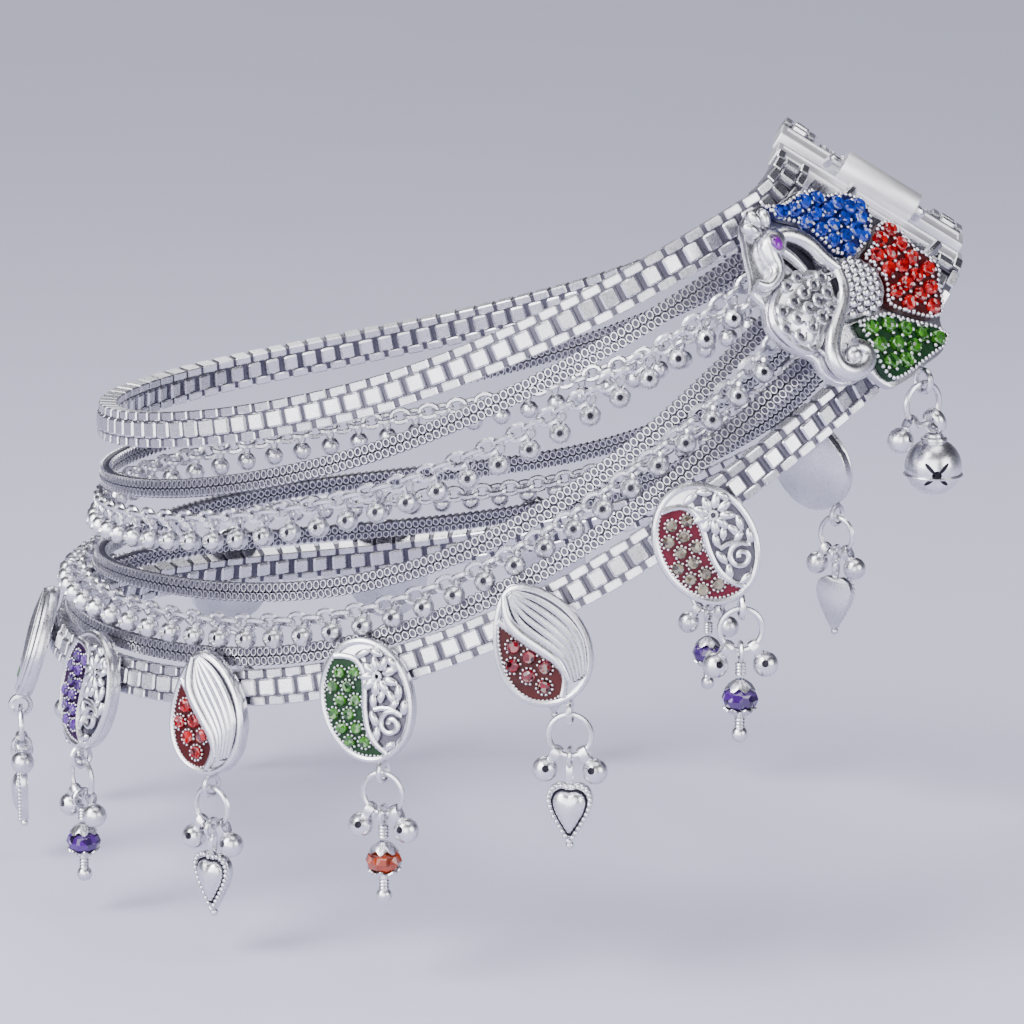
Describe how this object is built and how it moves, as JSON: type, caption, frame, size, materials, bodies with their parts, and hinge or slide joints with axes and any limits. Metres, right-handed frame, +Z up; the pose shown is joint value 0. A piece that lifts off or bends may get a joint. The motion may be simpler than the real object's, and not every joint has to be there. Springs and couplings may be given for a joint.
{
  "type": "anklet",
  "caption": "Festive payal anklet of box, mesh and bell chains that fan round the heel and gather under a peacock plaque with pave stones, with enamelled bell drops along its lower edge.",
  "frame": {"origin": "centre of the ankle that the anklet is worn on, level with the middle of the loops at the sides", "axes": "+Z up along the leg, +X along the foot to the toes, which is also the longest extent, +Y to the far side, so the plaque lies on the near side at -Y"},
  "size_m": [0.1273, 0.0916, 0.0927],
  "materials": {
    "silver": "polished white silver",
    "oxidised_silver": "satin silver, darkened in its hollows",
    "purple_stone": "polished purple cabochon",
    "blue_stone": "cut blue stones over dark blue enamel",
    "red_stone": "cut red stones over dark red enamel",
    "green_stone": "cut green stones over dark green enamel",
    "purple_bead": "faceted violet glass bead in silver caps",
    "orange_bead": "faceted amber orange glass bead in silver caps"
  },
  "bodies": {
    "root": {"strand_1_box_chain": "silver", "strand_2_mesh_chain": "silver", "strand_3_bead_chain": "silver", "strand_4_mesh_chain": "silver", "strand_5_bead_chain": "silver", "strand_6_mesh_chain": "silver", "strand_7_box_chain": "silver", "clasp_hook_plate": "silver", "clasp_eye_plate": "silver", "peacock_plaque": "oxidised_silver", "peacock_eye": "purple_stone", "feather_field_blue": "blue_stone", "feather_field_red": "red_stone", "feather_field_green": "green_stone", "plaque_bell_ring": "silver", "plaque_large_bell": "silver", "drop_01_plaque": "oxidised_silver", "drop_01_bell_ring": "silver", "drop_01_bead_charm": "purple_bead", "drop_02_plaque": "oxidised_silver", "drop_02_bell_ring": "silver", "drop_02_leaf_charm": "oxidised_silver", "drop_03_plaque": "oxidised_silver", "drop_03_bell_ring": "silver", "drop_03_bead_charm": "orange_bead", "drop_04_plaque": "oxidised_silver", "drop_04_bell_ring": "silver", "drop_04_leaf_charm": "oxidised_silver", "drop_05_plaque": "oxidised_silver", "drop_05_bell_ring": "silver", "drop_05_bead_charm": "purple_bead", "drop_06_plaque": "oxidised_silver", "drop_06_bell_ring": "silver", "drop_06_leaf_charm": "oxidised_silver", "drop_07_plaque": "oxidised_silver", "drop_07_bell_ring": "silver", "drop_07_bead_charm": "purple_bead", "drop_08_plaque": "oxidised_silver", "drop_08_bell_ring": "silver", "drop_08_leaf_charm": "oxidised_silver", "drop_09_plaque": "oxidised_silver", "drop_09_bell_ring": "silver", "drop_09_bead_charm": "purple_bead", "drop_10_plaque": "oxidised_silver", "drop_10_bell_ring": "silver", "drop_10_leaf_charm": "oxidised_silver", "drop_11_plaque": "oxidised_silver", "drop_11_bell_ring": "silver", "drop_11_bead_charm": "purple_bead", "drop_12_plaque": "oxidised_silver", "drop_12_bell_ring": "silver", "drop_12_leaf_charm": "oxidised_silver"}
  },
  "joints": []
}
